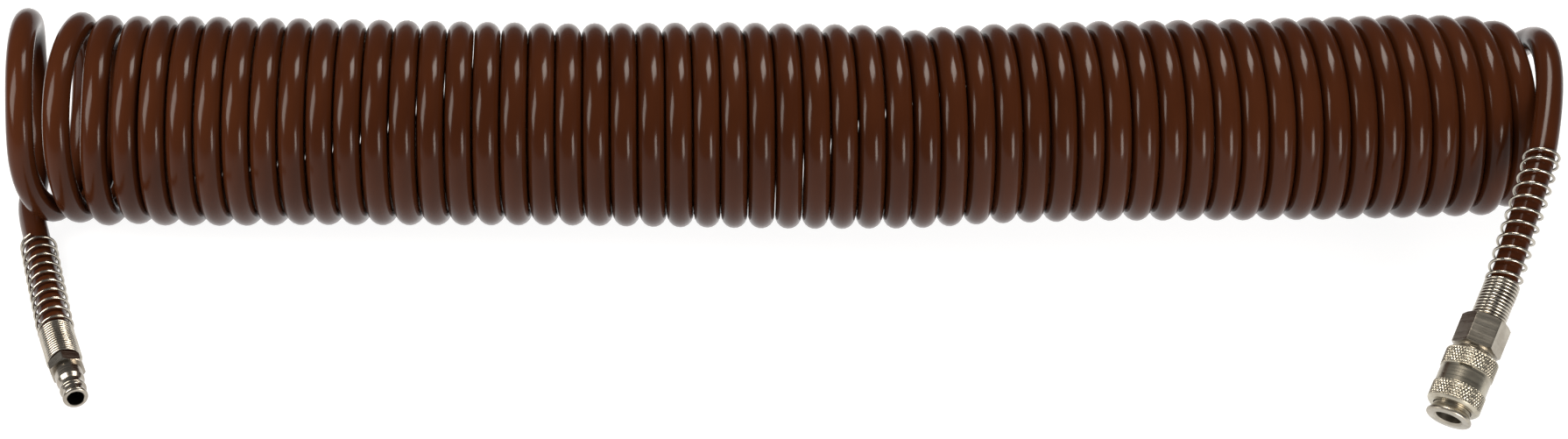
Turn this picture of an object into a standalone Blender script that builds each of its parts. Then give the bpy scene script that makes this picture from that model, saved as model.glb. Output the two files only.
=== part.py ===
"""Coiled compressed-air hose, lying on a level floor.

A close-wound coil of plastic hose lies along X. Its plug end comes out from under the coil on the
left, its coupler end comes down from the top of the last turn on the right, and a bend-protection
spring guards the hose at each fitting. Metres, +Z up, floor at z = 0.
"""
import math

import bmesh
import bpy
import numpy as np
from mathutils import Matrix, Vector

# Hose
HOSE_DIAMETER = 0.012
CLEARANCE = 0.0003

# Coil: the close turns, wound round an axis along X that bows backwards towards both ends
COIL_RADIUS = 0.0406
TURN_GAP = 0.00011
CLOSE_TURNS = 52
COIL_MIDDLE_X = 0.0183
COIL_MIDDLE_Y = 0.0546
BOW_HALF_LENGTH = 0.330
BOW_DEPTH = 0.0069
BOW_SKEW = 0.0014
LEAN_UP = 0.0583
LEAN_UP_CHANGE = -0.0359
LEAN_BACK = -0.0169
GROOVE_DEPTH = 0.0026
COIL_SEGMENTS = 20
BORE_RINGS = 9
TURN_PITCH = HOSE_DIAMETER + TURN_GAP
AXIS_HEIGHT = COIL_RADIUS + HOSE_DIAMETER / 2

# Loose turns at each end, from the tail to the close turns: angle in degrees (0 front, 90 top,
# 180 back), distance of the hose's centre out from the end of the close turns, how far the turn is
# lifted, and how much tighter it is, the last three in hose diameters
PLUG_SIDE_TURNS = [
    (270, 3.98, 0.02, 0), (225, 4.12, 0.04, 0), (180, 4.10, 0.12, -0.03), (126, 3.60, 0.26, -0.11),
    (90, 3.39, 0.27, -0.08), (45, 3.22, 0.24, 0), (0, 3.24, 0.15, 0), (-28, 3.07, 0.07, -0.03),
    (-51, 2.77, 0.00, -0.06), (-90, 2.56, 0.00, 0), (-135, 2.38, 0.06, 0), (-180, 2.09, 0.11, -0.05),
    (-234, 1.58, 0.12, -0.11), (-270, 1.67, 0.11, -0.08), (-291, 1.80, 0.10, -0.05), (-320, 1.87, 0.09, 0),
    (-355, 1.87, 0.07, -0.03), (-411, 1.74, 0.00, -0.08), (-450, 1.53, 0.00, 0), (-495, 1.28, 0.02, 0),
    (-540, 1.01, 0.03, -0.05), (-594, 0.53, 0.03, -0.09), (-630, 0.48, 0.02, -0.07),
    (-674, 0.43, 0.00, -0.04), (-720, 0.58, 0.00, -0.08),
]
COUPLER_SIDE_TURNS = [
    (76, 1.04, 0, 0.05), (84, 1.04, 0, 0.15), (92, 1.05, 0, 0.26), (100, 1.05, 0, 0.37),
    (110, 1.07, 0, 0.51), (120, 1.09, 0, 0.58), (129, 1.03, 0, 0.61), (140, 0.94, 0, 0.62),
    (150, 0.82, 0, 0.61), (165, 0.66, 0, 0.58), (180, 0.51, 0, 0.52), (200, 0.28, 0, 0.46),
]
LOOP_STEP = 22.5

# Free tails between the coil and the straight hose at each fitting, from the fitting inwards
PLUG_TAIL = [
    (-0.3225, -0.0214, 0.0084), (-0.3275, -0.0054, 0.0084), (-0.3318, 0.0086, 0.0085),
    (-0.3358, 0.0216, 0.0084), (-0.3398, 0.0336, 0.0072), (-0.3432, 0.0470, 0.0064),
]
COUPLER_TAIL = [
    (0.3223, -0.0305, 0.0517), (0.3295, -0.0143, 0.0606), (0.3363, 0.0029, 0.0689),
    (0.3415, 0.0225, 0.0767), (0.3446, 0.0395, 0.0824),
]
TUBE_STEP = 0.016
TUBE_ROUNDNESS = 2

# Bend-protection springs: close turns grip the hose behind the fitting, open turns guard it
WIRE_DIAMETER = 0.0013
GRIP_PLAY = 0.00045
OPEN_PLAY = 0.00095
GRIP_PITCH = 0.0015
PLUG_GRIP_TURNS = 14
PLUG_OPEN_TURNS = 10.2
PLUG_OPEN_PITCH = 0.0064
COUPLER_GRIP_TURNS = 12
COUPLER_OPEN_TURNS = 10.6
COUPLER_OPEN_PITCH = 0.0064
LAST_PITCH = 0.0036
WIRE_POINTS_PER_TURN = 8
WIRE_ROUNDNESS = 1
GRIP_RADIUS = HOSE_DIAMETER / 2 + GRIP_PLAY + WIRE_DIAMETER / 2
OPEN_RADIUS = HOSE_DIAMETER / 2 + OPEN_PLAY + WIRE_DIAMETER / 2

# Turned metal
ROUND_STEPS = 24
HEX_CHAMFER_ANGLE = math.radians(30)
HEX_FACE_SHARE = 1.02
BORE_OVERRUN = 0.002

# Plug: hexagon, barrel, locking grooves and tip, in distances along its axis from the hose end
PLUG_SEAT_X = -0.3078
PLUG_SEAT_Y = -0.0644
PLUG_HEADING = math.radians(20.4)
PLUG_HEX_ACROSS = 0.0140
PLUG_HEX_LENGTH = 0.0055
PLUG_HEX_ROLL = math.radians(8)
PLUG_BARREL_DIAMETER = 0.0120
PLUG_BARREL_LENGTH = 0.0072
PLUG_CONE_LENGTH = 0.0018
PLUG_GROOVE_DIAMETER = 0.0100
PLUG_GROOVE_LENGTH = 0.0026
PLUG_RIDGE_DIAMETER = 0.0115
PLUG_RIDGE_LENGTH = 0.0020
PLUG_LOCK_DIAMETER = 0.0097
PLUG_LOCK_LENGTH = 0.0028
PLUG_TIP_DIAMETER = 0.0109
PLUG_TIP_LENGTH = 0.0021
PLUG_EDGE = 0.0006
PLUG_BORE_DIAMETER = 0.0073

# Coupler: hexagon, barrel and front lip, with the sliding sleeve between hexagon and lip
COUPLER_SEAT_X = 0.3052
COUPLER_SEAT_Y = -0.0659
COUPLER_HEADING = math.radians(-28.7)
COUPLER_SLOPE = math.radians(28.9)
COUPLER_HEX_ACROSS = 0.0190
COUPLER_HEX_LENGTH = 0.0145
COUPLER_HEX_ROLL = math.radians(20)
BARREL_DIAMETER = 0.0164
SLEEVE_TRAVEL_GAP = 0.0028
SLEEVE_DIAMETER = 0.0232
SLEEVE_LENGTH = 0.0250
SLEEVE_BAND_LENGTH = 0.0078
SLEEVE_FRONT_KNURL = 0.0088
SLEEVE_BAND_DEPTH = 0.0004
SLEEVE_FRONT_CHAMFER = 0.0014
SLEEVE_BACK_CHAMFER = 0.0006
SLEEVE_TO_LIP = 0.0016
LIP_DIAMETER = 0.0198
LIP_RIM = 0.0014
LIP_EDGE = 0.0005
LIP_CONE_LENGTH = 0.0022
MOUTH_DIAMETER = 0.0130
SOCKET_DIAMETER = 0.0112
SOCKET_DEPTH = 0.0200
PASSAGE_DIAMETER = 0.0060

PLUG_LENGTH = (PLUG_HEX_LENGTH + PLUG_BARREL_LENGTH + PLUG_CONE_LENGTH + PLUG_GROOVE_LENGTH
               + PLUG_RIDGE_LENGTH + PLUG_LOCK_LENGTH + PLUG_TIP_LENGTH)
SLEEVE_BACK = COUPLER_HEX_LENGTH + SLEEVE_TRAVEL_GAP
SLEEVE_FRONT = SLEEVE_BACK + SLEEVE_LENGTH
COUPLER_LENGTH = SLEEVE_FRONT + SLEEVE_TO_LIP + LIP_CONE_LENGTH + LIP_RIM

HOSE_BROWN = (0.075, 0.026, 0.012, 1.0)
NICKEL = (0.62, 0.59, 0.53, 1.0)
SPRING_STEEL = (0.66, 0.65, 0.62, 1.0)


def clear_scene():
    for old in list(bpy.data.objects):
        bpy.data.objects.remove(old, do_unlink=True)


def new_collection(name):
    collection = bpy.data.collections.new(name)
    bpy.context.scene.collection.children.link(collection)
    return collection


def new_material(name, colour, roughness, metallic):
    material = bpy.data.materials.new(name)
    material.use_nodes = True
    shader = material.node_tree.nodes["Principled BSDF"]
    shader.inputs["Base Color"].default_value = colour
    shader.inputs["Roughness"].default_value = roughness
    shader.inputs["Metallic"].default_value = metallic
    return material


def bow(x):
    """How far back the coil's axis lies at x, and the axis's slope there."""
    u = (x - COIL_MIDDLE_X) / BOW_HALF_LENGTH
    back = BOW_DEPTH * u ** 2 + BOW_SKEW * u ** 3
    slope = (2 * BOW_DEPTH * u + 3 * BOW_SKEW * u ** 2) / BOW_HALF_LENGTH
    return back, slope


def lean(x, back, up):
    """Place a point of an upright turn at x, given how far back and up it is from the axis."""
    u = (x - COIL_MIDDLE_X) / BOW_HALF_LENGTH
    axis_back, slope = bow(x)
    shifted = x + (LEAN_UP + LEAN_UP_CHANGE * u) * up + (LEAN_BACK - slope) * back
    return Vector((shifted, COIL_MIDDLE_Y + axis_back + back, AXIS_HEIGHT + up))


def loop_point(x, angle, lift, tighter):
    """Hose centre at x on a loose turn; angle runs from the front (0) over the top (90)."""
    radius = COIL_RADIUS - tighter
    return np.array((
        x,
        COIL_MIDDLE_Y + bow(x)[0] - radius * math.cos(math.radians(angle)),
        AXIS_HEIGHT + radius * math.sin(math.radians(angle)) + lift,
    ))


def smooth_curve(points, samples=12):
    """Catmull-Rom curve through the points, as an array of closely spaced points."""
    p = np.array(points, dtype=float)
    p = np.vstack((2 * p[0] - p[1], p, 2 * p[-1] - p[-2]))
    out = []
    for a, b, c, d in zip(p[:-3], p[1:-2], p[2:-1], p[3:]):
        for t in np.arange(samples) / samples:
            out.append(b + 0.5 * t * (c - a + t * (2 * a - 5 * b + 4 * c - d + t * (3 * (b - c) + d - a))))
    out.append(p[-2])
    return np.array(out)


def along(curve):
    """Distance of each point of a curve from its start."""
    steps = np.linalg.norm(np.diff(curve, axis=0), axis=1)
    return np.concatenate(([0.0], np.cumsum(steps)))


def resample(curve, spacing):
    distance = along(curve)
    count = max(2, round(distance[-1] / spacing) + 1)
    wanted = np.linspace(0, distance[-1], count)
    return np.stack([np.interp(wanted, distance, curve[:, k]) for k in range(3)], axis=1)


def loose_turns(turns, end_x, side):
    """Hose centres round the loose turns, from the hand-placed angles, distances and lifts."""
    table = smooth_curve(turns)
    count = round(abs(turns[-1][0] - turns[0][0]) / LOOP_STEP) + 1
    angles = np.linspace(turns[0][0], turns[-1][0], count)
    table = table[np.argsort(table[:, 0])]
    out, lifts, tighter = (np.interp(angles, table[:, 0], table[:, k]) * HOSE_DIAMETER for k in (1, 2, 3))
    return [loop_point(end_x + side * x, *rest) for x, *rest in zip(out, angles, lifts, tighter)]


def fitting_frame(seat, heading, slope):
    """Local frame of a fitting: +Z runs along its axis from the hose end to its free end."""
    z = Vector((math.sin(heading) * math.cos(slope), -math.cos(heading) * math.cos(slope), -math.sin(slope)))
    x = Vector((math.cos(heading), math.sin(heading), 0))
    y = z.cross(x)
    frame = Matrix((x, y, z)).transposed().to_4x4()
    frame.translation = seat
    return frame


def straight_hose(frame, length, spacing):
    """Hose centres behind a fitting, in line with it, from its seat backwards."""
    count = max(2, round(length / spacing) + 1)
    places = np.linspace(-CLEARANCE, -CLEARANCE - length, count)
    return [np.array(frame @ Vector((0, 0, z))) for z in places]


def add_object(name, data, collection, material=None):
    thing = bpy.data.objects.new(name, data)
    collection.objects.link(thing)
    if material is not None:
        thing.data.materials.append(material)
    return thing


def wire_curve(name, points, diameter, bevel_steps, collection, material):
    """Round wire or hose along a row of points, with flat ends."""
    data = bpy.data.curves.new(name, "CURVE")
    data.dimensions = "3D"
    data.bevel_depth = diameter / 2
    data.bevel_resolution = bevel_steps
    data.use_fill_caps = True
    spline = data.splines.new("POLY")
    spline.points.add(len(points) - 1)
    for point, place in zip(spline.points, points):
        point.co = (place[0], place[1], place[2], 1)
    return add_object(name, data, collection, material)


def profile_mesh(name, profile, closed):
    """Edges of a profile of (radius, height) pairs in the XZ plane."""
    mesh = bpy.data.meshes.new(name)
    shape = bmesh.new()
    verts = [shape.verts.new((radius, 0, height)) for radius, height in profile]
    for a, b in zip(verts, verts[1:]):
        shape.edges.new((a, b))
    if closed:
        shape.edges.new((verts[-1], verts[0]))
    shape.to_mesh(mesh)
    shape.free()
    return mesh


def turned(name, profile, steps, collection, closed=False):
    """Solid of revolution round local Z; the profile runs down its outer side, top to bottom."""
    thing = add_object(name, profile_mesh(name, profile, closed), collection)
    screw = thing.modifiers.new("turn", "SCREW")
    screw.axis = "Z"
    screw.steps = steps
    screw.render_steps = steps
    screw.use_merge_vertices = True
    screw.merge_threshold = 0.00001
    return thing


def boolean(thing, cutter, operation):
    modifier = thing.modifiers.new(operation.lower(), "BOOLEAN")
    modifier.operation = operation
    modifier.solver = "EXACT"
    modifier.object = cutter


def settle(thing, material):
    """Turn the modifiers' result into the object's own mesh, smooth between sharp edges."""
    bpy.context.view_layer.update()
    graph = bpy.context.evaluated_depsgraph_get()
    mesh = bpy.data.meshes.new_from_object(thing.evaluated_get(graph))
    thing.modifiers.clear()
    thing.data = mesh
    mesh.materials.clear()
    mesh.materials.append(material)
    mesh.shade_smooth()
    mesh.set_sharp_from_angle(angle=math.radians(35))
    return thing


def hide_guide(thing):
    thing.hide_render = True
    thing.display_type = "WIRE"


def seat_on(thing, parent):
    thing.parent = parent
    thing.matrix_parent_inverse = Matrix()


def fitting_empty(name, frame, collection):
    empty = bpy.data.objects.new(name, None)
    empty.empty_display_size = 0.01
    empty.matrix_world = frame
    collection.objects.link(empty)
    return empty


def hexagon(name, across, length, roll, parent, cutters):
    """Hexagon with its corners turned off at both ends, from local z = 0 up."""
    corner = across / math.sqrt(3)
    face = across / 2 * HEX_FACE_SHARE
    outside = corner * 1.01
    bevel = (outside - face) * math.tan(HEX_CHAMFER_ANGLE)
    rounding = turned(name + "_rounding", [
        (0, length), (face, length), (outside, length - bevel), (outside, bevel), (face, 0), (0, 0),
    ], ROUND_STEPS, cutters)
    shape = bmesh.new()
    bmesh.ops.create_cone(shape, cap_ends=True, segments=6, radius1=corner, radius2=corner,
                          depth=length + 2 * BORE_OVERRUN,
                          matrix=Matrix.Translation((0, 0, length / 2)) @ Matrix.Rotation(roll, 4, "Z"))
    mesh = bpy.data.meshes.new(name)
    shape.to_mesh(mesh)
    shape.free()
    prism = add_object(name, mesh, cutters)
    boolean(prism, rounding, "INTERSECT")
    for thing in (rounding, prism):
        seat_on(thing, parent)
        hide_guide(thing)
    return prism


def spring_points(hose, grip_turns, open_turns, open_pitch):
    """Wire centres of a right-hand spring round the hose: close turns, open ones, a last turn."""
    distance = along(hose)
    turns = grip_turns + open_turns
    count = round(turns * WIRE_POINTS_PER_TURN)
    points = []
    place = WIRE_DIAMETER / 2 + CLEARANCE
    for step in range(count + 1):
        turn = turns * step / count
        opened = min(max(turn - grip_turns + 0.5, 0), 1)
        centre = Vector([np.interp(place, distance, hose[:, k]) for k in range(3)])
        ahead = Vector([np.interp(place + HOSE_DIAMETER / 2, distance, hose[:, k]) for k in range(3)])
        direction = (ahead - centre).normalized()
        side = direction.cross(Vector((0, 0, 1))).normalized()
        over = direction.cross(side)
        radius = GRIP_RADIUS + (OPEN_RADIUS - GRIP_RADIUS) * opened
        angle = 2 * math.pi * (turn + 0.5)
        points.append(centre + radius * (math.cos(angle) * side + math.sin(angle) * over))
        closing = min(max(turn - turns + 1.25, 0) * 4, 1)
        pitch = GRIP_PITCH + (open_pitch - GRIP_PITCH) * opened
        pitch += (LAST_PITCH - pitch) * closing
        place += pitch / WIRE_POINTS_PER_TURN
    return points


def build_coil(collection, material):
    """Close turns as one tube: grooved outside between the turns, with its bore."""
    outer = COIL_RADIUS + HOSE_DIAMETER / 2
    inner = COIL_RADIUS - HOSE_DIAMETER / 2
    half = CLOSE_TURNS * TURN_PITCH / 2
    outside = []
    for turn in range(CLOSE_TURNS):
        top = half - turn * TURN_PITCH
        outside.append((outer - GROOVE_DEPTH, top))
        outside.append((outer, top - TURN_PITCH / 2))
    outside.append((outer - GROOVE_DEPTH, -half))
    inside = [(inner, z) for z in np.linspace(-half, half, BORE_RINGS)]
    coil = settle(turned("hose_coil", outside + inside, COIL_SEGMENTS, collection, closed=True), material)
    for vertex in coil.data.vertices:
        back, up, x = vertex.co
        vertex.co = lean(COIL_MIDDLE_X + x, back, up)
    return half


def build_tail(name, frame, grip_length, tail, turns, collection, material):
    """Hose from a fitting's seat to the coil; returns its centres, from the fitting on."""
    straight = straight_hose(frame, grip_length, HOSE_DIAMETER)
    curve = smooth_curve(straight + [np.array(p) for p in tail] + turns)
    wire_curve(name, resample(curve, TUBE_STEP), HOSE_DIAMETER, TUBE_ROUNDNESS, collection, material)
    return curve


def build_plug(frame, collection, cutters, material):
    seat = fitting_empty("plug_axis", frame, collection)
    tip = PLUG_LENGTH
    lock_end = tip - PLUG_TIP_LENGTH
    ridge_end = lock_end - PLUG_LOCK_LENGTH
    groove_end = ridge_end - PLUG_RIDGE_LENGTH
    cone_end = groove_end - PLUG_GROOVE_LENGTH
    barrel_end = cone_end - PLUG_CONE_LENGTH
    r_tip, r_lock = PLUG_TIP_DIAMETER / 2, PLUG_LOCK_DIAMETER / 2
    r_ridge, r_groove = PLUG_RIDGE_DIAMETER / 2, PLUG_GROOVE_DIAMETER / 2
    r_barrel = PLUG_BARREL_DIAMETER / 2
    nipple = turned("plug_nipple", [
        (0, tip), (r_tip - PLUG_EDGE, tip), (r_tip, tip - PLUG_EDGE), (r_tip, lock_end + PLUG_EDGE),
        (r_lock, lock_end), (r_lock, ridge_end), (r_ridge, ridge_end - PLUG_EDGE),
        (r_ridge, groove_end + PLUG_EDGE), (r_groove, groove_end), (r_groove, cone_end),
        (r_barrel, barrel_end), (r_barrel, PLUG_HEX_LENGTH / 2), (0, PLUG_HEX_LENGTH / 2),
    ], ROUND_STEPS, collection)
    hexagonal = hexagon("plug_hexagon", PLUG_HEX_ACROSS, PLUG_HEX_LENGTH, PLUG_HEX_ROLL, seat, cutters)
    bore = turned("plug_bore", [
        (0, tip + BORE_OVERRUN), (PLUG_BORE_DIAMETER / 2, tip + BORE_OVERRUN),
        (PLUG_BORE_DIAMETER / 2, -BORE_OVERRUN), (0, -BORE_OVERRUN),
    ], ROUND_STEPS, cutters)
    seat_on(nipple, seat)
    seat_on(bore, seat)
    hide_guide(bore)
    boolean(nipple, hexagonal, "UNION")
    boolean(nipple, bore, "DIFFERENCE")
    settle(nipple, material)


def build_coupler(frame, collection, cutters, material):
    seat = fitting_empty("coupler_axis", frame, collection)
    face = COUPLER_LENGTH
    rim_back = face - LIP_RIM
    cone_back = rim_back - LIP_CONE_LENGTH
    r_lip, r_barrel = LIP_DIAMETER / 2, BARREL_DIAMETER / 2
    body = turned("coupler_body", [
        (0, face), (r_lip - LIP_EDGE, face), (r_lip, face - LIP_EDGE), (r_lip, rim_back),
        (r_barrel, cone_back), (r_barrel, COUPLER_HEX_LENGTH / 2), (0, COUPLER_HEX_LENGTH / 2),
    ], ROUND_STEPS, collection)
    hexagonal = hexagon("coupler_hexagon", COUPLER_HEX_ACROSS, COUPLER_HEX_LENGTH, COUPLER_HEX_ROLL,
                        seat, cutters)
    r_mouth, r_socket, r_passage = MOUTH_DIAMETER / 2, SOCKET_DIAMETER / 2, PASSAGE_DIAMETER / 2
    mouth = r_mouth - r_socket
    bore = turned("coupler_bore", [
        (0, face + mouth), (r_mouth + mouth, face + mouth), (r_socket, face - mouth),
        (r_socket, face - SOCKET_DEPTH), (r_passage, face - SOCKET_DEPTH - r_socket + r_passage),
        (r_passage, -BORE_OVERRUN), (0, -BORE_OVERRUN),
    ], ROUND_STEPS, cutters)
    seat_on(body, seat)
    seat_on(bore, seat)
    hide_guide(bore)
    boolean(body, hexagonal, "UNION")
    boolean(body, bore, "DIFFERENCE")
    settle(body, material)

    r_sleeve = SLEEVE_DIAMETER / 2
    r_band = r_sleeve - SLEEVE_BAND_DEPTH
    r_inside = r_barrel + CLEARANCE
    band_front = SLEEVE_FRONT - SLEEVE_FRONT_KNURL
    band_back = band_front - SLEEVE_BAND_LENGTH
    sleeve = turned("coupler_sleeve", [
        (r_sleeve - SLEEVE_FRONT_CHAMFER, SLEEVE_FRONT), (r_sleeve, SLEEVE_FRONT - SLEEVE_FRONT_CHAMFER),
        (r_sleeve, band_front), (r_band, band_front), (r_band, band_back), (r_sleeve, band_back),
        (r_sleeve, SLEEVE_BACK + SLEEVE_BACK_CHAMFER), (r_sleeve - SLEEVE_BACK_CHAMFER, SLEEVE_BACK),
        (r_inside, SLEEVE_BACK), (r_inside, SLEEVE_FRONT),
    ], ROUND_STEPS, collection, closed=True)
    seat_on(sleeve, seat)
    settle(sleeve, material)


def main():
    clear_scene()
    parts = new_collection("air_hose")
    cutters = new_collection("cutters")
    brown = new_material("brown_hose", HOSE_BROWN, 0.22, 0.0)
    nickel = new_material("nickel_plate", NICKEL, 0.28, 1.0)
    steel = new_material("spring_wire", SPRING_STEEL, 0.25, 1.0)

    coil_half = build_coil(parts, brown)

    plug_height = OPEN_RADIUS + WIRE_DIAMETER / 2
    plug_frame = fitting_frame((PLUG_SEAT_X, PLUG_SEAT_Y, plug_height), PLUG_HEADING, 0)
    plug_turns = loose_turns(PLUG_SIDE_TURNS, COIL_MIDDLE_X - coil_half, -1)
    plug_hose = build_tail("hose_tail_plug", plug_frame, PLUG_GRIP_TURNS * GRIP_PITCH, PLUG_TAIL,
                           plug_turns, parts, brown)
    wire = spring_points(plug_hose, PLUG_GRIP_TURNS, PLUG_OPEN_TURNS, PLUG_OPEN_PITCH)
    wire_curve("plug_bend_spring", wire, WIRE_DIAMETER, WIRE_ROUNDNESS, parts, steel)
    build_plug(plug_frame, parts, cutters, nickel)

    lip_height = LIP_DIAMETER / 2 * math.cos(COUPLER_SLOPE)
    coupler_height = lip_height + COUPLER_LENGTH * math.sin(COUPLER_SLOPE)
    coupler_frame = fitting_frame((COUPLER_SEAT_X, COUPLER_SEAT_Y, coupler_height), COUPLER_HEADING,
                                  COUPLER_SLOPE)
    coupler_turns = loose_turns(COUPLER_SIDE_TURNS, COIL_MIDDLE_X + coil_half, 1)
    coupler_hose = build_tail("hose_tail_coupler", coupler_frame, COUPLER_GRIP_TURNS * GRIP_PITCH,
                              COUPLER_TAIL, coupler_turns, parts, brown)
    wire = spring_points(coupler_hose, COUPLER_GRIP_TURNS, COUPLER_OPEN_TURNS, COUPLER_OPEN_PITCH)
    wire_curve("coupler_bend_spring", wire, WIRE_DIAMETER, WIRE_ROUNDNESS, parts, steel)
    build_coupler(coupler_frame, parts, cutters, nickel)


main()
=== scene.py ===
"""Looks of the coiled air hose: one glossy brown hose, two springs, a plug and a knurled coupler.

Metres, +Z up, floor at z = 0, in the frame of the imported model.
"""
import math

import bmesh
import bpy
import numpy as np
from mathutils import Matrix, Vector


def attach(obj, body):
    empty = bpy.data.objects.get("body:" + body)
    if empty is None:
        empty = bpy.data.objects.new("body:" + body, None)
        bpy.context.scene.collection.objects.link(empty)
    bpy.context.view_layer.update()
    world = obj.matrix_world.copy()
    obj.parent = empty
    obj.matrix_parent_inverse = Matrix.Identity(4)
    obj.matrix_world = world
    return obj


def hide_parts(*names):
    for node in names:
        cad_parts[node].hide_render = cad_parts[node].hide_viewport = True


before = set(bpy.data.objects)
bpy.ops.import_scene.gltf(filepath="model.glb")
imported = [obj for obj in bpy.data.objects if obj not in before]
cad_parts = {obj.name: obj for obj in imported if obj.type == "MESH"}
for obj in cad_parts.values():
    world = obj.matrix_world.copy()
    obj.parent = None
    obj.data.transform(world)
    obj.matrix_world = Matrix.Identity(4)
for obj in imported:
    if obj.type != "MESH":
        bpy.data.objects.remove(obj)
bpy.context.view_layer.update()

# Camera: where it stands, how it looks and its lens on a 36 mm wide sensor
CAMERA_PLACE = (0.0001, -1.0800, 0.9101)
CAMERA_ELEVATION = math.radians(39.0)
CAMERA_TURN = math.radians(-0.2)
CAMERA_LENS = 71.83

# Softboxes: name, place, width, height and radiance; all face one point and share a warm colour
SOFTBOX_TARGET = (0.0, 0.05, 0.05)
SOFTBOX_COLOUR = (1, 0.93, 0.85)
SOFTBOXES = [
    ("softbox_high", (0.25, 0.25, 0.76), 0.30, 0.42, 17.0),
    ("softbox_left", (-0.54, -0.12, 0.34), 0.20, 0.36, 12.0),
    ("softbox_low", (0.45, -0.58, 0.16), 0.22, 0.30, 17.0),
]
FLOOR_SIZE = 8

# Metals: darkest and lightest colour, lowest and highest roughness, fineness of the turning rings
# and their strength
COUPLER_NICKEL = ((0.32, 0.29, 0.24, 1), (0.44, 0.41, 0.35, 1), 0.24, 0.38, 900, 0.15)
PLUG_NICKEL = ((0.28, 0.25, 0.21, 1), (0.40, 0.37, 0.32, 1), 0.18, 0.30, 900, 0.2)
SLEEVE_NICKEL = ((0.34, 0.31, 0.25, 1), (0.48, 0.45, 0.37, 1), 0.24, 0.36, 1200, 0.15)
SPRING_STEEL = ((0.36, 0.33, 0.28, 1), (0.48, 0.45, 0.39, 1), 0.18, 0.28, 600, 0.1)

# Hose
HOSE_DIAMETER = 0.012
CLEARANCE = 0.0003

# Coil, as the model has it: the axis along X bows backwards towards both ends
COIL_RADIUS = 0.0406
TURN_GAP = 0.00011
CLOSE_TURNS = 52
COIL_MIDDLE_X = 0.0183
COIL_MIDDLE_Y = 0.0546
BOW_HALF_LENGTH = 0.330
BOW_DEPTH = 0.0069
BOW_SKEW = 0.0014
LEAN_UP = 0.0583
LEAN_UP_CHANGE = -0.0359
LEAN_BACK = -0.0169
AXIS_HEIGHT = COIL_RADIUS + HOSE_DIAMETER / 2
COIL_HALF_LENGTH = CLOSE_TURNS * (HOSE_DIAMETER + TURN_GAP) / 2

# Wound turns, counted from the left: where the fourth one passes its highest seen point, their
# spacing, and how far the middle ones have crept to the right
FIRST_WOUND_TURN = 4
LAST_WOUND_TURN = 55
FIRST_WOUND_X = -0.29315
WOUND_PITCH = 0.012185
MIDDLE_CREEP = 0.0020
TOP_ANGLE = 129
POINTS_PER_TURN = 56

# How the wound turns differ: turn, wider by, set back by
TURN_SHAPES = [
    (3.6, 0.0005, 0), (4, 0.0008, -0.0006), (5, 0.0014, -0.0020), (8, 0.0011, -0.0016),
    (11, 0.0006, -0.0003), (14, 0.0003, 0),
    (20, -0.0004, 0.0007), (26, 0.0004, -0.0004), (30, 0.0002, -0.0014), (32.2, -0.0003, -0.0014),
    (33, -0.0012, -0.0020), (34, -0.0008, -0.0008), (36, -0.0009, 0.0014), (40, -0.0008, 0.0026),
    (44, -0.0005, 0.0016), (48, -0.0001, 0.0006), (52, 0, 0.0003), (54, -0.0006, 0), (55, -0.0021, 0),
]

# Loose turns at each end: angle in degrees (0 front, 90 top, 180 back), distance of the hose's
# centre out from the end of the close turns, lift, and how much tighter the turn is, the last
# three in hose diameters
PLUG_SIDE_TURNS = [
    (270, 3.98, 0.02, 0), (225, 4.12, 0.04, 0), (180, 4.10, 0.12, -0.03), (126, 3.60, 0.26, -0.11),
    (90, 3.39, 0.27, -0.08), (45, 3.22, 0.24, 0), (0, 3.24, 0.15, 0), (-28, 3.07, 0.07, -0.03),
    (-51, 2.77, 0.00, -0.06), (-90, 2.56, 0.00, 0), (-135, 2.38, 0.06, 0), (-180, 2.09, 0.11, -0.05),
    (-234, 1.58, 0.12, -0.11), (-270, 1.67, 0.11, -0.08), (-291, 1.80, 0.10, -0.05), (-320, 1.87, 0.09, 0),
    (-355, 1.87, 0.07, -0.03), (-411, 1.74, 0.00, -0.08), (-450, 1.53, 0.00, 0), (-495, 1.28, 0.02, 0),
    (-540, 1.01, 0.03, -0.05), (-594, 0.53, 0.03, -0.09), (-630, 0.48, 0.02, -0.07),
    (-674, 0.43, 0.00, -0.04), (-720, 0.58, 0.00, -0.08), (-771, 0.64, 0.00, -0.17),
    (-810, 0.47, 0.00, 0), (-855, 0.18, 0.00, 0), (-900, -0.15, 0.02, -0.04), (-951, -0.55, 0.05, -0.05),
]
COUPLER_SIDE_TURNS = [
    (76, 1.04, 0, 0.05), (84, 1.04, 0, 0.15), (92, 1.05, 0, 0.26), (100, 1.05, 0, 0.37),
    (110, 1.07, 0, 0.51), (120, 1.09, 0, 0.58), (129, 1.03, 0, 0.61), (140, 0.94, 0, 0.62),
    (150, 0.82, 0, 0.61), (165, 0.66, 0, 0.58), (180, 0.51, 0, 0.52), (200, 0.28, 0, 0.46),
    (225, 0.22, 0, 0.42), (270, 0.18, 0, 0.34), (309, 0.13, 0, 0.32), (360, 0.17, 0, 0.24),
    (403, 0.04, 0, 0.20), (450, -0.22, 0, 0.28), (489, -0.48, 0, 0.31),
]
# The angle at which the coupler side's list passes the top of the last wound turn
LAST_WOUND_TOP = 450
LOOP_STEP = 360 / POINTS_PER_TURN

# Free tails between the coil and the straight hose at each fitting, from the fitting inwards
PLUG_TAIL = [
    (-0.3225, -0.0214, 0.0084), (-0.3275, -0.0054, 0.0084), (-0.3318, 0.0086, 0.0085),
    (-0.3358, 0.0216, 0.0084), (-0.3398, 0.0336, 0.0072), (-0.3432, 0.0470, 0.0064),
]
COUPLER_TAIL = [
    (0.3223, -0.0305, 0.0517), (0.3295, -0.0143, 0.0606), (0.3363, 0.0029, 0.0689),
    (0.3415, 0.0225, 0.0767), (0.3446, 0.0395, 0.0824),
]
HOSE_SIDES = 20
TAIL_STEP = 0.0045
CURVE_SAMPLES = 12

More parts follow.
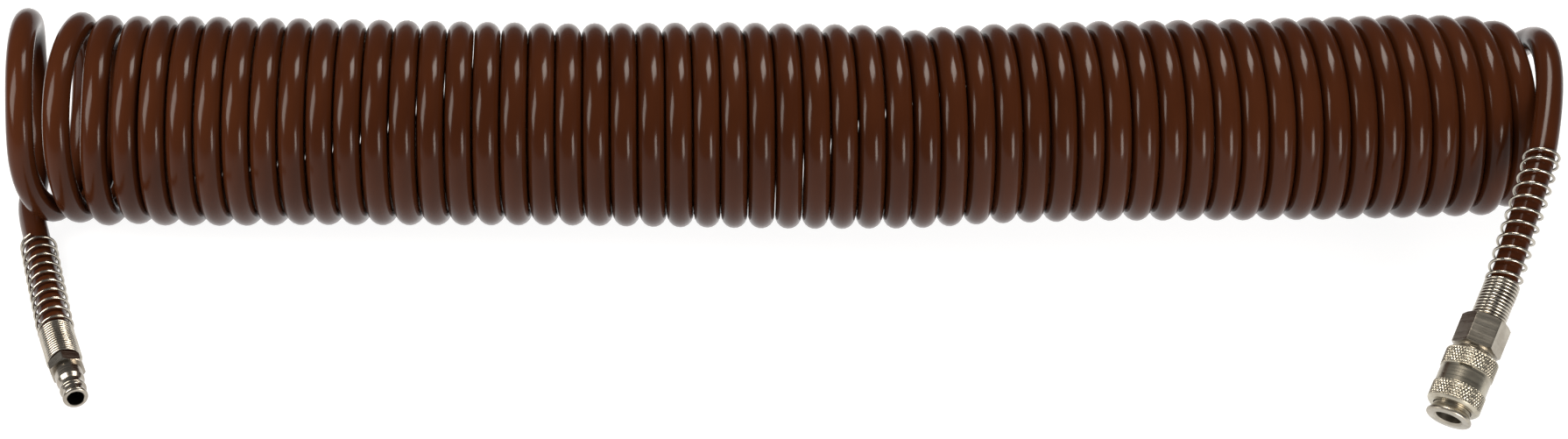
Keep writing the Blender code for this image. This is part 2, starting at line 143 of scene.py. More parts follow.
# Springs: close turns grip the hose, open ones begin a little before the close ones end, and the
# last turns draw together again
WIRE_DIAMETER = 0.0013
GRIP_PLAY = 0.00045
OPEN_PLAY = 0.00095
GRIP_PITCH = 0.0015
PLUG_GRIP_TURNS = 14
PLUG_OPEN_TURNS = 10.2
PLUG_OPEN_PITCH = 0.0064
COUPLER_GRIP_TURNS = 12
COUPLER_OPEN_TURNS = 10.6
COUPLER_OPEN_PITCH = 0.0064
LAST_PITCH = 0.0036
START_TURN = 0.5
OPENING_LEAD = 0.5
CLOSING_TURNS = 1.25
CLOSING_RATE = 4
WIRE_POINTS_PER_TURN = 32
WIRE_SIDES = 12
GRIP_RADIUS = HOSE_DIAMETER / 2 + GRIP_PLAY + WIRE_DIAMETER / 2
OPEN_RADIUS = HOSE_DIAMETER / 2 + OPEN_PLAY + WIRE_DIAMETER / 2

# Turned metal
ROUND_STEPS = 128
HEX_CHAMFER_ANGLE = math.radians(30)
HEX_FACE_SHARE = 1.02
HEX_OUTSIDE_SHARE = 1.01
BORE_OVERRUN = 0.002
EDGE_ROUND = 0.00025
ROUNDING_CUTS = 3
ROUNDING_SHARE = 0.45
MERGE_DISTANCE = 0.000001

# Plug
PLUG_SEAT_X = -0.3078
PLUG_SEAT_Y = -0.0644
PLUG_HEADING = math.radians(20.4)
PLUG_HEX_ACROSS = 0.0140
PLUG_HEX_LENGTH = 0.0055
PLUG_HEX_ROLL = math.radians(8)
PLUG_BARREL_DIAMETER = 0.0120
PLUG_BARREL_LENGTH = 0.0072
PLUG_CONE_LENGTH = 0.0018
PLUG_GROOVE_DIAMETER = 0.0100
PLUG_GROOVE_LENGTH = 0.0026
PLUG_RIDGE_DIAMETER = 0.0115
PLUG_RIDGE_LENGTH = 0.0020
PLUG_LOCK_DIAMETER = 0.0097
PLUG_LOCK_LENGTH = 0.0028
PLUG_TIP_DIAMETER = 0.0109
PLUG_TIP_LENGTH = 0.0021
PLUG_EDGE = 0.0006
PLUG_ROUND = EDGE_ROUND * 1.6
PLUG_BORE_DIAMETER = 0.0073
PLUG_LENGTH = (PLUG_HEX_LENGTH + PLUG_BARREL_LENGTH + PLUG_CONE_LENGTH + PLUG_GROOVE_LENGTH
               + PLUG_RIDGE_LENGTH + PLUG_LOCK_LENGTH + PLUG_TIP_LENGTH)

# Coupler
COUPLER_SEAT_X = 0.3052
COUPLER_SEAT_Y = -0.0659
COUPLER_HEADING = math.radians(-28.7)
COUPLER_SLOPE = math.radians(28.9)
COUPLER_HEX_ACROSS = 0.0190
COUPLER_HEX_LENGTH = 0.0145
COUPLER_HEX_ROLL = math.radians(20)
BARREL_DIAMETER = 0.0164
NECK_GROOVE_PLACE = 0.0009
NECK_GROOVE_WIDTH = 0.0004
NECK_GROOVE_DEPTH = 0.0005
NECK_GROOVE_SLANT = 0.0001
SLEEVE_TRAVEL_GAP = 0.0028
SLEEVE_DIAMETER = 0.0232
SLEEVE_LENGTH = 0.0250
SLEEVE_BAND_LENGTH = 0.0078
SLEEVE_FRONT_KNURL = 0.0088
SLEEVE_BAND_DEPTH = 0.0004
BAND_BACK_MARGIN = 0.0015
BAND_FRONT_MARGIN = 0.0006
BAND_RINGS = 8
SLEEVE_FRONT_CHAMFER = 0.0014
SLEEVE_BACK_CHAMFER = 0.0006
SLEEVE_TO_LIP = 0.0016
LIP_DIAMETER = 0.0198
LIP_RIM = 0.0014
LIP_EDGE = 0.0005
LIP_CONE_LENGTH = 0.0022
MOUTH_DIAMETER = 0.0130
SOCKET_DIAMETER = 0.0112
SOCKET_DEPTH = 0.0200
PASSAGE_DIAMETER = 0.0060
SLEEVE_BACK = COUPLER_HEX_LENGTH + SLEEVE_TRAVEL_GAP
SLEEVE_FRONT = SLEEVE_BACK + SLEEVE_LENGTH
COUPLER_LENGTH = SLEEVE_FRONT + SLEEVE_TO_LIP + LIP_CONE_LENGTH + LIP_RIM

# Knurl
KNURL_PITCH = 0.00125
KNURL_DEPTH = 0.00032
KNURL_ANGLE = math.radians(32)
KNURL_FLATNESS = 1.7
KNURL_STEPS_ROUND = 432
KNURL_STEP_ALONG = 0.00017
NOTCH_ANGLE = math.radians(88)
NOTCH_HALF_WIDTH = math.radians(13)
NOTCH_LENGTH = 0.0006
NOTCH_DEPTH = 0.0007


def bow(x):
    """How far back the coil's axis lies at x, and the axis's slope there."""
    u = (x - COIL_MIDDLE_X) / BOW_HALF_LENGTH
    back = BOW_DEPTH * u ** 2 + BOW_SKEW * u ** 3
    slope = (2 * BOW_DEPTH * u + 3 * BOW_SKEW * u ** 2) / BOW_HALF_LENGTH
    return back, slope


def loop_point(x, angle, lift, tighter):
    """Hose centre at x on a loose turn; angle runs from the front (0) over the top (90)."""
    radius = COIL_RADIUS - tighter
    return np.array((
        x,
        COIL_MIDDLE_Y + bow(x)[0] - radius * math.cos(math.radians(angle)),
        AXIS_HEIGHT + radius * math.sin(math.radians(angle)) + lift,
    ))


def smooth_curve(points):
    """Catmull-Rom curve through the points, as an array of closely spaced points."""
    p = np.array(points, dtype=float)
    p = np.vstack((2 * p[0] - p[1], p, 2 * p[-1] - p[-2]))
    out = []
    for a, b, c, d in zip(p[:-3], p[1:-2], p[2:-1], p[3:]):
        for t in np.arange(CURVE_SAMPLES) / CURVE_SAMPLES:
            bend = 2 * a - 5 * b + 4 * c - d + t * (3 * (b - c) + d - a)
            out.append(b + 0.5 * t * (c - a + t * bend))
    out.append(p[-2])
    return np.array(out)


def along(curve):
    """Distance of each point of a curve from its start."""
    steps = np.linalg.norm(np.diff(curve, axis=0), axis=1)
    return np.concatenate(([0.0], np.cumsum(steps)))


def resample(curve, spacing):
    distance = along(curve)
    count = max(2, round(distance[-1] / spacing) + 1)
    wanted = np.linspace(0, distance[-1], count)
    return np.stack([np.interp(wanted, distance, curve[:, k]) for k in range(3)], axis=1)


def loose_turns(turns, end_x, side):
    """Hose centres round the loose turns, from the listed angles, distances and lifts."""
    table = smooth_curve(turns)
    count = round(abs(turns[-1][0] - turns[0][0]) / LOOP_STEP) + 1
    angles = np.linspace(turns[0][0], turns[-1][0], count)
    table = table[np.argsort(table[:, 0])]
    out, lifts, tighter = (np.interp(angles, table[:, 0], table[:, k]) * HOSE_DIAMETER for k in (1, 2, 3))
    return [loop_point(end_x + side * x, *rest) for x, *rest in zip(out, angles, lifts, tighter)]


def wound_point(angle):
    """Hose centre on the wound turns; turns count up as the angle falls, by one for each 360."""
    turn = 1 + (TOP_ANGLE - angle) / 360
    share = (turn - FIRST_WOUND_TURN) / (LAST_WOUND_TURN - FIRST_WOUND_TURN)
    creep = MIDDLE_CREEP * math.sin(math.pi * share)
    x = FIRST_WOUND_X + WOUND_PITCH * (turn - FIRST_WOUND_TURN) + creep
    shapes = np.array(TURN_SHAPES)
    wider = np.interp(turn, shapes[:, 0], shapes[:, 1])
    set_back = np.interp(turn, shapes[:, 0], shapes[:, 2])
    radius = COIL_RADIUS + wider
    u = (x - COIL_MIDDLE_X) / BOW_HALF_LENGTH
    axis_back, slope = bow(x)
    back = -radius * math.cos(math.radians(angle))
    up = radius * math.sin(math.radians(angle))
    x += (LEAN_UP + LEAN_UP_CHANGE * u) * up + (LEAN_BACK - slope) * back
    return np.array((x, COIL_MIDDLE_Y + axis_back + set_back + back, AXIS_HEIGHT + wider + up))


def fitting_frame(seat, heading, slope):
    """Local frame of a fitting: +Z runs along its axis from the hose end to its free end."""
    z = Vector((math.sin(heading) * math.cos(slope), -math.cos(heading) * math.cos(slope), -math.sin(slope)))
    x = Vector((math.cos(heading), math.sin(heading), 0))
    y = z.cross(x)
    place = Matrix((x, y, z)).transposed().to_4x4()
    place.translation = seat
    return place


def straight_hose(place, length, spacing):
    """Hose centres behind a fitting, in line with it, from its seat backwards."""
    count = max(2, round(length / spacing) + 1)
    places = np.linspace(-CLEARANCE, -CLEARANCE - length, count)
    return [np.array(place @ Vector((0, 0, z))) for z in places]


def tail(place, grip_length, points, turns):
    """Fine hose centres from a fitting's seat to the loose turns, in the order of the model."""
    straight = straight_hose(place, grip_length, HOSE_DIAMETER)
    return smooth_curve(straight + [np.array(p) for p in points] + turns[:2])


def hose_route(plug_place, coupler_place):
    """Hose centres from the plug to the coupler, and the two tails that the springs follow."""
    left_end = COIL_MIDDLE_X - COIL_HALF_LENGTH
    right_end = COIL_MIDDLE_X + COIL_HALF_LENGTH
    plug_turns = loose_turns(PLUG_SIDE_TURNS, left_end, -1)
    coupler_turns = loose_turns(COUPLER_SIDE_TURNS, right_end, 1)
    plug_tail = tail(plug_place, PLUG_GRIP_TURNS * GRIP_PITCH, PLUG_TAIL, plug_turns)
    coupler_tail = tail(coupler_place, COUPLER_GRIP_TURNS * GRIP_PITCH, COUPLER_TAIL, coupler_turns)
    first = PLUG_SIDE_TURNS[-1][0]
    last_top = 90 - 360 * (LAST_WOUND_TURN - 1)
    last = last_top + COUPLER_SIDE_TURNS[-1][0] - LAST_WOUND_TOP
    count = round((first - last) / LOOP_STEP)
    wound = [wound_point(angle) for angle in np.linspace(first, last, count + 1)[1:-1]]
    rows = (
        resample(plug_tail, TAIL_STEP),
        np.array(plug_turns[2:]),
        np.array(wound),
        np.array(coupler_turns[:1:-1]),
        resample(coupler_tail, TAIL_STEP)[::-1],
    )
    route = np.vstack(rows)
    smoothed = route.copy()
    smoothed[2:-2] = (route[1:-3] + 2 * route[2:-2] + route[3:-1]) / 4
    return smoothed, plug_tail, coupler_tail


def add_object(name, data):
    thing = bpy.data.objects.new(name, data)
    bpy.context.scene.collection.objects.link(thing)
    return thing


def new_piece(name, mesh, body, material, place=None):
    thing = add_object(name, mesh)
    if place is not None:
        thing.matrix_world = place
    mesh.materials.clear()
    mesh.materials.append(material)
    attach(thing, body)
    return thing


def ring_faces(count, steps, closed):
    """Four-sided faces from ring to ring of points, and from the last to the first if closed."""
    ring = np.arange(steps)
    following = (ring + 1) % steps
    row = np.arange(count if closed else count - 1)[:, None]
    rows = row * steps
    next_rows = (row + 1) % count * steps
    faces = (rows + ring, rows + following, next_rows + following, next_rows + ring)
    return np.stack(faces, axis=-1).reshape(-1, 4).tolist()


def tube_mesh(name, centres, diameter, sides):
    """Round tube along the centres, closed by flat ends, smooth all along."""
    centres = np.array(centres, dtype=float)
    ahead = np.gradient(centres, axis=0)
    ahead /= np.linalg.norm(ahead, axis=1)[:, None]
    side = np.cross(ahead[0], (0.0, 0.0, 1.0))
    sides_of = []
    for direction in ahead:
        side = side - direction * np.dot(side, direction)
        side = side / np.linalg.norm(side)
        sides_of.append(side)
    sides_of = np.array(sides_of)
    over = np.cross(ahead, sides_of)
    angles = np.arange(sides) * 2 * math.pi / sides
    rings = (centres[:, None, :] + diameter / 2 * (
        np.cos(angles)[None, :, None] * sides_of[:, None, :]
        + np.sin(angles)[None, :, None] * over[:, None, :]))
    count = len(centres)
    caps = [list(range(sides))[::-1], list(range((count - 1) * sides, count * sides))]
    mesh = bpy.data.meshes.new(name)
    mesh.from_pydata(rings.reshape(-1, 3).tolist(), [], ring_faces(count, sides, closed=False) + caps)
    mesh.shade_smooth()
    mesh.set_sharp_from_angle(angle=math.radians(60))
    return mesh


def spring_points(hose, grip_turns, open_turns, open_pitch):
    """Wire centres of a spring round the hose: close turns, open ones, then the last turns."""
    distance = along(hose)
    turns = grip_turns + open_turns
    count = round(turns * WIRE_POINTS_PER_TURN)
    points = []
    place = WIRE_DIAMETER / 2 + CLEARANCE
    for step in range(count + 1):
        turn = turns * step / count
        opened = min(max(turn - grip_turns + OPENING_LEAD, 0), 1)
        centre = Vector([np.interp(place, distance, hose[:, k]) for k in range(3)])
        ahead = Vector([np.interp(place + HOSE_DIAMETER / 2, distance, hose[:, k]) for k in range(3)])
        direction = (ahead - centre).normalized()
        side = direction.cross(Vector((0, 0, 1))).normalized()
        over = direction.cross(side)
        radius = GRIP_RADIUS + (OPEN_RADIUS - GRIP_RADIUS) * opened
        angle = 2 * math.pi * (turn + START_TURN)
        points.append(centre + radius * (math.cos(angle) * side + math.sin(angle) * over))
        closing = min(max(turn - turns + CLOSING_TURNS, 0) * CLOSING_RATE, 1)
        pitch = GRIP_PITCH + (open_pitch - GRIP_PITCH) * opened
        pitch += (LAST_PITCH - pitch) * closing
        place += pitch / WIRE_POINTS_PER_TURN
    return points


def rounded(profile, radius):
    """A profile of (radius, height) pairs with its inner corners rounded."""
    out = [profile[0]]
    for before, corner, after in zip(profile[:-2], profile[1:-1], profile[2:]):
        a, b, c = Vector(before), Vector(corner), Vector(after)
        reach = min(radius, (a - b).length * ROUNDING_SHARE, (c - b).length * ROUNDING_SHARE)
        start = b + (a - b).normalized() * reach
        end = b + (c - b).normalized() * reach
        for k in range(ROUNDING_CUTS + 1):
            t = k / ROUNDING_CUTS
            out.append(tuple((1 - t) ** 2 * start + 2 * t * (1 - t) * b + t ** 2 * end))
    out.append(profile[-1])
    return out


def finished_mesh(shape, name):
    mesh = bpy.data.meshes.new(name)
    shape.to_mesh(mesh)
    shape.free()
    return mesh


def turned_object(name, profile):
    """Solid of revolution round local Z; the profile runs down its outer side, top to bottom."""
    shape = bmesh.new()
    verts = [shape.verts.new((radius, 0, height)) for radius, height in profile]
    edges = [shape.edges.new(pair) for pair in zip(verts, verts[1:])]
    bmesh.ops.spin(shape, geom=verts + edges, cent=(0, 0, 0), axis=(0, 0, 1), angle=2 * math.pi,
                   steps=ROUND_STEPS, use_merge=True, use_duplicate=False)
    bmesh.ops.remove_doubles(shape, verts=shape.verts, dist=MERGE_DISTANCE)
    bmesh.ops.recalc_face_normals(shape, faces=shape.faces)
    return add_object(name, finished_mesh(shape, name))


def cut_mesh(thing, operations, name):
    """The object's mesh after its Booleans, smooth between sharp edges; removes what was used."""
    for operation, other in operations:
        modifier = thing.modifiers.new(operation.lower(), "BOOLEAN")
        modifier.operation = operation
        modifier.solver = "EXACT"
        modifier.object = other
    bpy.context.view_layer.update()
    graph = bpy.context.evaluated_depsgraph_get()
    mesh = bpy.data.meshes.new_from_object(thing.evaluated_get(graph))
    mesh.name = name
    for used in [thing] + [other for _, other in operations]:
        bpy.data.objects.remove(used, do_unlink=True)
    mesh.shade_smooth()
    mesh.set_sharp_from_angle(angle=math.radians(28))
    return mesh


def hexagon_object(name, across, length, roll):
    """Hexagon with its corners turned off at both ends, from local z = 0 up."""
    corner = across / math.sqrt(3)
    face = across / 2 * HEX_FACE_SHARE
    outside = corner * HEX_OUTSIDE_SHARE
    bevel = (outside - face) * math.tan(HEX_CHAMFER_ANGLE)
    rounding = turned_object(name + "_rounding", [
        (0, length), (face, length), (outside, length - bevel), (outside, bevel), (face, 0), (0, 0),
    ])
    shape = bmesh.new()
    bmesh.ops.create_cone(shape, cap_ends=True, segments=6, radius1=corner, radius2=corner,
                          depth=length + 2 * BORE_OVERRUN,
                          matrix=Matrix.Translation((0, 0, length / 2)) @ Matrix.Rotation(roll, 4, "Z"))
    upright = [e for e in shape.edges if abs(e.verts[0].co.z - e.verts[1].co.z) > length]
    bmesh.ops.bevel(shape, geom=upright, offset=EDGE_ROUND, segments=3, affect="EDGES", profile=0.5)
    prism = add_object(name, finished_mesh(shape, name))
    return add_object(name, cut_mesh(prism, [("INTERSECT", rounding)], name))


def plug_mesh():
    tip = PLUG_LENGTH
    lock_end = tip - PLUG_TIP_LENGTH
    ridge_end = lock_end - PLUG_LOCK_LENGTH
    groove_end = ridge_end - PLUG_RIDGE_LENGTH
    cone_end = groove_end - PLUG_GROOVE_LENGTH
    barrel_end = cone_end - PLUG_CONE_LENGTH
    r_tip, r_lock = PLUG_TIP_DIAMETER / 2, PLUG_LOCK_DIAMETER / 2
    r_ridge, r_groove = PLUG_RIDGE_DIAMETER / 2, PLUG_GROOVE_DIAMETER / 2
    r_barrel = PLUG_BARREL_DIAMETER / 2
    outer = [
        (0, tip), (r_tip - PLUG_EDGE, tip), (r_tip, tip - PLUG_EDGE), (r_tip, lock_end + PLUG_EDGE),
        (r_lock, lock_end), (r_lock, ridge_end), (r_ridge, ridge_end - PLUG_EDGE),
        (r_ridge, groove_end + PLUG_EDGE), (r_groove, groove_end), (r_groove, cone_end),
        (r_barrel, barrel_end), (r_barrel, PLUG_HEX_LENGTH / 2), (0, PLUG_HEX_LENGTH / 2),
    ]
    nipple = turned_object("plug_turned", rounded(outer, PLUG_ROUND))
    hexagonal = hexagon_object("plug_hexagon", PLUG_HEX_ACROSS, PLUG_HEX_LENGTH, PLUG_HEX_ROLL)
    r_bore = PLUG_BORE_DIAMETER / 2
    bore = turned_object("plug_bore", [
        (0, tip + BORE_OVERRUN), (r_bore + EDGE_ROUND + BORE_OVERRUN, tip + BORE_OVERRUN),
        (r_bore, tip - EDGE_ROUND), (r_bore, -BORE_OVERRUN), (0, -BORE_OVERRUN),
    ])
    return cut_mesh(nipple, [("UNION", hexagonal), ("DIFFERENCE", bore)], "plug")


def coupler_mesh():
    face = COUPLER_LENGTH
    rim_back = face - LIP_RIM
    cone_back = rim_back - LIP_CONE_LENGTH
    r_lip, r_barrel = LIP_DIAMETER / 2, BARREL_DIAMETER / 2
    neck_groove = COUPLER_HEX_LENGTH + NECK_GROOVE_PLACE
    outer = [
        (0, face), (r_lip - LIP_EDGE, face), (r_lip, face - LIP_EDGE), (r_lip, rim_back),
        (r_barrel, cone_back), (r_barrel, neck_groove + (NECK_GROOVE_WIDTH + NECK_GROOVE_SLANT)),
        (r_barrel - NECK_GROOVE_DEPTH, neck_groove + NECK_GROOVE_WIDTH),
        (r_barrel - NECK_GROOVE_DEPTH, neck_groove), (r_barrel, neck_groove - NECK_GROOVE_SLANT),
        (r_barrel, COUPLER_HEX_LENGTH / 2), (0, COUPLER_HEX_LENGTH / 2),
    ]
    body = turned_object("coupler_turned", rounded(outer, EDGE_ROUND))
    hexagonal = hexagon_object("coupler_hexagon", COUPLER_HEX_ACROSS, COUPLER_HEX_LENGTH, COUPLER_HEX_ROLL)
    r_mouth, r_socket, r_passage = MOUTH_DIAMETER / 2, SOCKET_DIAMETER / 2, PASSAGE_DIAMETER / 2
    mouth = r_mouth - r_socket
    bore = turned_object("coupler_bore", [
        (0, face + mouth), (r_mouth + mouth, face + mouth), (r_socket, face - mouth),
        (r_socket, face - SOCKET_DEPTH), (r_passage, face - SOCKET_DEPTH - r_socket + r_passage),
        (r_passage, -BORE_OVERRUN), (0, -BORE_OVERRUN),
    ])
    return cut_mesh(body, [("UNION", hexagonal), ("DIFFERENCE", bore)], "coupler")


def knurl_height(turn_distance, height):
    """Diamond knurl, 0 in its grooves and 1 on its tops."""
    lean = math.cos(KNURL_ANGLE)
    rise = math.sin(KNURL_ANGLE)
    waves = []
    for way in (1, -1):
        phase = (turn_distance * lean + way * height * rise) / KNURL_PITCH
        waves.append(1 - np.abs(2 * (phase - np.floor(phase)) - 1))
    return np.clip(np.minimum(*waves) * KNURL_FLATNESS, 0, 1)


def sleeve_mesh():
    """Sleeve with two knurled bands and a satin band between, as a grid round its axis."""
    r_sleeve = SLEEVE_DIAMETER / 2
    r_band = r_sleeve - SLEEVE_BAND_DEPTH
    r_inside = BARREL_DIAMETER / 2 + CLEARANCE
    band_front = SLEEVE_FRONT - SLEEVE_FRONT_KNURL
    band_back = band_front - SLEEVE_BAND_LENGTH
    knurl_front = SLEEVE_FRONT - SLEEVE_FRONT_CHAMFER
    knurl_back = SLEEVE_BACK + SLEEVE_BACK_CHAMFER
    edge = EDGE_ROUND
    outline = [(knurl_back + edge, r_sleeve), (band_back - edge, r_sleeve), (band_back, r_band),
               (band_front, r_band), (band_front + edge, r_sleeve), (knurl_front - edge, r_sleeve)]
    heights = np.arange(knurl_back + edge, band_back - edge, KNURL_STEP_ALONG).tolist()
    heights += [band_back - edge, band_back, band_back + NOTCH_LENGTH, band_back + NOTCH_LENGTH + edge]
    band_low, band_high = band_back + BAND_BACK_MARGIN, band_front - BAND_FRONT_MARGIN
    heights += np.linspace(band_low, band_high, BAND_RINGS).tolist()
    heights += [band_front, band_front + edge]
    heights += np.arange(band_front + 2 * edge, knurl_front - edge, KNURL_STEP_ALONG).tolist()
    heights = np.array(heights)
    radii = np.interp(heights, [p[0] for p in outline], [p[1] for p in outline])
    angles = np.arange(KNURL_STEPS_ROUND) * 2 * math.pi / KNURL_STEPS_ROUND
    around = round(2 * math.pi * r_sleeve * math.cos(KNURL_ANGLE) / KNURL_PITCH)
    turn_distance = angles * around * KNURL_PITCH / (2 * math.pi * math.cos(KNURL_ANGLE))
    knurled = (heights < band_back - edge * 1.5) | (heights > band_front + edge * 1.5)
    pattern = knurl_height(turn_distance[None, :], heights[:, None]) * knurled[:, None]
    flat = (1 - knurled)[:, None]
    grid = radii[:, None] - KNURL_DEPTH * (1 - pattern - flat)
    notch = (np.abs(angles - NOTCH_ANGLE % (2 * math.pi)) < NOTCH_HALF_WIDTH)[None, :]
    notch = notch & ((heights > band_back - 0.5 * edge) & (heights < band_back + NOTCH_LENGTH * 1.1))[:, None]
    grid = grid - NOTCH_DEPTH * notch
    rings = [(heights[k], grid[k]) for k in range(len(heights))]
    plain = np.ones(KNURL_STEPS_ROUND)
    # Both chamfers bulge outwards, by shares of their own size
    back, front = SLEEVE_BACK_CHAMFER, SLEEVE_FRONT_CHAMFER
    start = [(SLEEVE_FRONT, r_inside), (SLEEVE_BACK, r_inside), (SLEEVE_BACK, r_sleeve - back),
             (SLEEVE_BACK + 0.4 * back, r_sleeve - 0.35 * back), (knurl_back, r_sleeve)]
    end = [(knurl_front, r_sleeve), (knurl_front + 0.5 * front, r_sleeve - 0.35 * front),
           (SLEEVE_FRONT - 0.1 * front, r_sleeve - 0.8 * front), (SLEEVE_FRONT, r_sleeve - front)]
    rings = [(z, r * plain) for z, r in start] + rings + [(z, r * plain) for z, r in end]
    count, steps = len(rings), KNURL_STEPS_ROUND
    points = np.empty((count, steps, 3))
    for k, (z, r) in enumerate(rings):
        points[k, :, 0] = r * np.cos(angles)
        points[k, :, 1] = r * np.sin(angles)
        points[k, :, 2] = z
    mesh = bpy.data.meshes.new("sleeve")
    mesh.from_pydata(points.reshape(-1, 3).tolist(), [], ring_faces(count, steps, closed=True))
    mesh.shade_smooth()
    mesh.set_sharp_from_angle(angle=math.radians(38))
    return mesh


def principled(name):
    material = bpy.data.materials.new(name)
    material.use_nodes = True
    tree = material.node_tree
    return material, tree.nodes, tree.links, tree.nodes["Principled BSDF"]


def noise(nodes, links, coordinates, scale, detail=3.0, stretch=None):
    texture = nodes.new("ShaderNodeTexNoise")
    texture.inputs["Scale"].default_value = scale
    texture.inputs["Detail"].default_value = detail
    source = coordinates
    if stretch is not None:
        mapping = nodes.new("ShaderNodeMapping")
        mapping.inputs["Scale"].default_value = stretch
        links.new(coordinates, mapping.inputs["Vector"])
        source = mapping.outputs["Vector"]
    links.new(source, texture.inputs["Vector"])
    return texture


def ramp(nodes, links, value, low, high, first, second):
    """Colour ramp from first at low to second at high."""
    made = nodes.new("ShaderNodeValToRGB")
    made.color_ramp.elements[0].position = low
    made.color_ramp.elements[1].position = high
    made.color_ramp.elements[0].color = first
    made.color_ramp.elements[1].color = second
    links.new(value, made.inputs["Fac"])
    return made


def grey(value):
    return (value, value, value, 1.0)


def bump(nodes, links, height, strength, distance, shader):
    made = nodes.new("ShaderNodeBump")
    made.inputs["Strength"].default_value = strength
    made.inputs["Distance"].default_value = distance
    links.new(height, made.inputs["Height"])
    links.new(made.outputs["Normal"], shader.inputs["Normal"])


def hose_material():
    material, nodes, links, shader = principled("hose_brown_gloss")
    place = nodes.new("ShaderNodeTexCoord").outputs["Object"]
    cloud = noise(nodes, links, place, 22.0)
    tone = ramp(nodes, links, cloud.outputs["Fac"], 0.3, 0.7,
                (0.035, 0.0092, 0.0030, 1), (0.046, 0.0128, 0.0044, 1))
    links.new(tone.outputs["Color"], shader.inputs["Base Color"])
    haze = noise(nodes, links, place, 60.0)
    gloss = ramp(nodes, links, haze.outputs["Fac"], 0.3, 0.75, grey(0.15), grey(0.21))
    links.new(gloss.outputs["Color"], shader.inputs["Roughness"])
    shader.inputs["IOR"].default_value = 1.5
    shader.inputs["Specular IOR Level"].default_value = 0.13
    ripple = noise(nodes, links, place, 180.0, 2.0)
    bump(nodes, links, ripple.outputs["Fac"], 0.08, 0.0002, shader)
    return material


def metal_material(name, dark, light, rough_low, rough_high, ring_scale, ring_strength):
    """Plated metal with fine turning rings round local Z and a faint cloud in its colour."""
    material, nodes, links, shader = principled(name)
    place = nodes.new("ShaderNodeTexCoord").outputs["Object"]
    cloud = noise(nodes, links, place, 160.0)
    tone = ramp(nodes, links, cloud.outputs["Fac"], 0.35, 0.7, dark, light)
    links.new(tone.outputs["Color"], shader.inputs["Base Color"])
    shader.inputs["Metallic"].default_value = 1.0
    rings = noise(nodes, links, place, ring_scale, 4.0, (0.04, 0.04, 1.0))
    gloss = ramp(nodes, links, rings.outputs["Fac"], 0.3, 0.7, grey(rough_low), grey(rough_high))
    links.new(gloss.outputs["Color"], shader.inputs["Roughness"])
    bump(nodes, links, rings.outputs["Fac"], ring_strength, 0.00005, shader)
    return material


def floor_material():
    material, _, _, shader = principled("floor_white")
    shader.inputs["Base Color"].default_value = grey(0.25)
    shader.inputs["Roughness"].default_value = 0.9
    shader.inputs["Emission Color"].default_value = grey(1.0)
    shader.inputs["Emission Strength"].default_value = 0.92
    return material


def add_floor():
    bpy.ops.mesh.primitive_plane_add(size=FLOOR_SIZE, location=(0, 0, 0))
    floor = bpy.context.object
    floor.name = "floor"
    floor.data.materials.append(floor_material())


def add_softbox(name, place, width, height, radiance):
    data = bpy.data.lights.new(name, "AREA")
    data.shape = "RECTANGLE"
    data.size = width
    data.size_y = height
    data.color = SOFTBOX_COLOUR
    data.energy = radiance * math.pi * width * height
    lamp = add_object(name, data)
    lamp.location = place
    away = Vector(place) - Vector(SOFTBOX_TARGET)
    lamp.rotation_euler = away.to_track_quat("Z", "Y").to_euler()


def add_world():
    """Dim studio, lighter near the horizon."""
    world = bpy.data.worlds.new("studio")
    bpy.context.scene.world = world
    world.use_nodes = True
    nodes, links = world.node_tree.nodes, world.node_tree.links
    direction = nodes.new("ShaderNodeTexCoord")
    split = nodes.new("ShaderNodeSeparateXYZ")
    links.new(direction.outputs["Generated"], split.inputs["Vector"])
    sky = ramp(nodes, links, split.outputs["Z"], 0.0, 0.45, grey(0.28), grey(0.13))
    links.new(sky.outputs["Color"], nodes["Background"].inputs["Color"])
    nodes["Background"].inputs["Strength"].default_value = 1.0


def add_camera():
    data = bpy.data.cameras.new("camera")
    data.lens = CAMERA_LENS
    data.sensor_width = 36
    data.clip_start = 0.01
    camera = add_object("camera", data)
    camera.location = CAMERA_PLACE
    camera.rotation_euler = (math.pi / 2 - CAMERA_ELEVATION, 0, CAMERA_TURN)
    bpy.context.scene.camera = camera


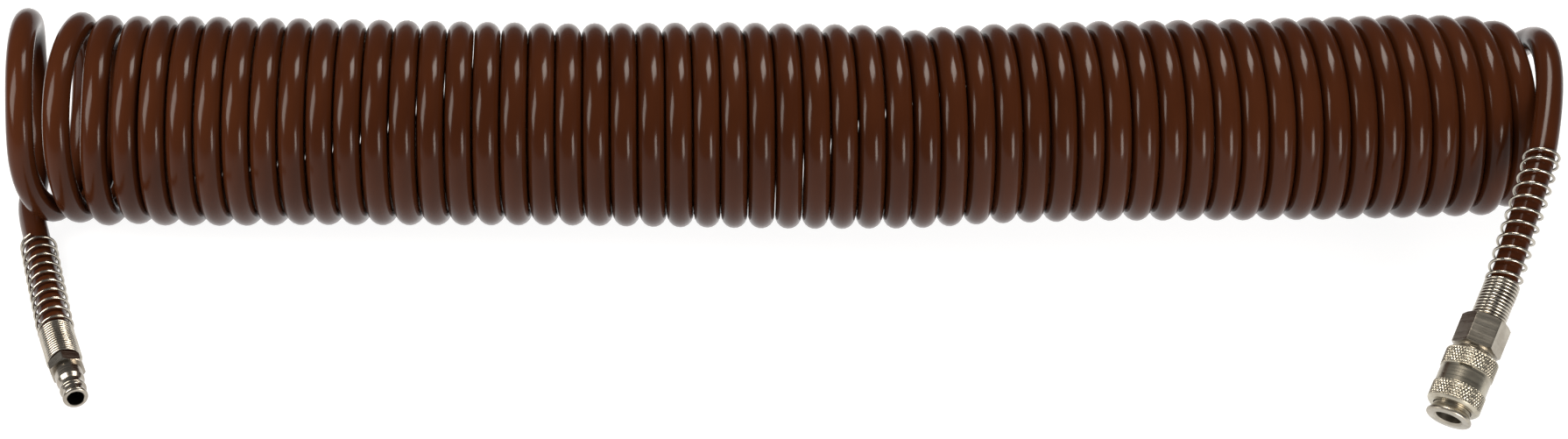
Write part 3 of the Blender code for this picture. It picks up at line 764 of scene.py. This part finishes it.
def main():
    bpy.context.scene.view_settings.view_transform = "Standard"
    add_camera()
    add_floor()
    add_world()
    for softbox in SOFTBOXES:
        add_softbox(*softbox)

    # The plug's spring and the coupler's lip rest on the floor
    plug_height = OPEN_RADIUS + WIRE_DIAMETER / 2
    plug_place = fitting_frame((PLUG_SEAT_X, PLUG_SEAT_Y, plug_height), PLUG_HEADING, 0)
    coupler_height = LIP_DIAMETER / 2 * math.cos(COUPLER_SLOPE) + COUPLER_LENGTH * math.sin(COUPLER_SLOPE)
    coupler_seat = (COUPLER_SEAT_X, COUPLER_SEAT_Y, coupler_height)
    coupler_place = fitting_frame(coupler_seat, COUPLER_HEADING, COUPLER_SLOPE)
    route, plug_tail, coupler_tail = hose_route(plug_place, coupler_place)

    brown = hose_material()
    nickel = metal_material("coupler_nickel", *COUPLER_NICKEL)
    satin = metal_material("plug_nickel", *PLUG_NICKEL)
    knurled = metal_material("sleeve_nickel", *SLEEVE_NICKEL)
    wire = metal_material("spring_steel", *SPRING_STEEL)

    hose = new_piece("hose", tube_mesh("hose", route, HOSE_DIAMETER, HOSE_SIDES), "hose", brown)
    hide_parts("hose_coil", "hose_tail_plug", "hose_tail_coupler")

    plug = new_piece("plug", plug_mesh(), "hose", satin, plug_place)
    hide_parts("plug_nipple")
    coupler = new_piece("coupler", coupler_mesh(), "hose", nickel, coupler_place)
    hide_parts("coupler_body")
    sleeve = new_piece("sleeve", sleeve_mesh(), "sleeve", knurled, coupler_place)
    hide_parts("coupler_sleeve")

    plug_wire = spring_points(plug_tail, PLUG_GRIP_TURNS, PLUG_OPEN_TURNS, PLUG_OPEN_PITCH)
    plug_spring = new_piece("plug_spring", tube_mesh("plug_spring", plug_wire, WIRE_DIAMETER, WIRE_SIDES),
                            "hose", wire)
    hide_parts("plug_bend_spring")
    coupler_wire = spring_points(coupler_tail, COUPLER_GRIP_TURNS, COUPLER_OPEN_TURNS, COUPLER_OPEN_PITCH)
    coupler_spring = new_piece("coupler_spring",
                               tube_mesh("coupler_spring", coupler_wire, WIRE_DIAMETER, WIRE_SIDES),
                               "hose", wire)
    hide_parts("coupler_bend_spring")


main()
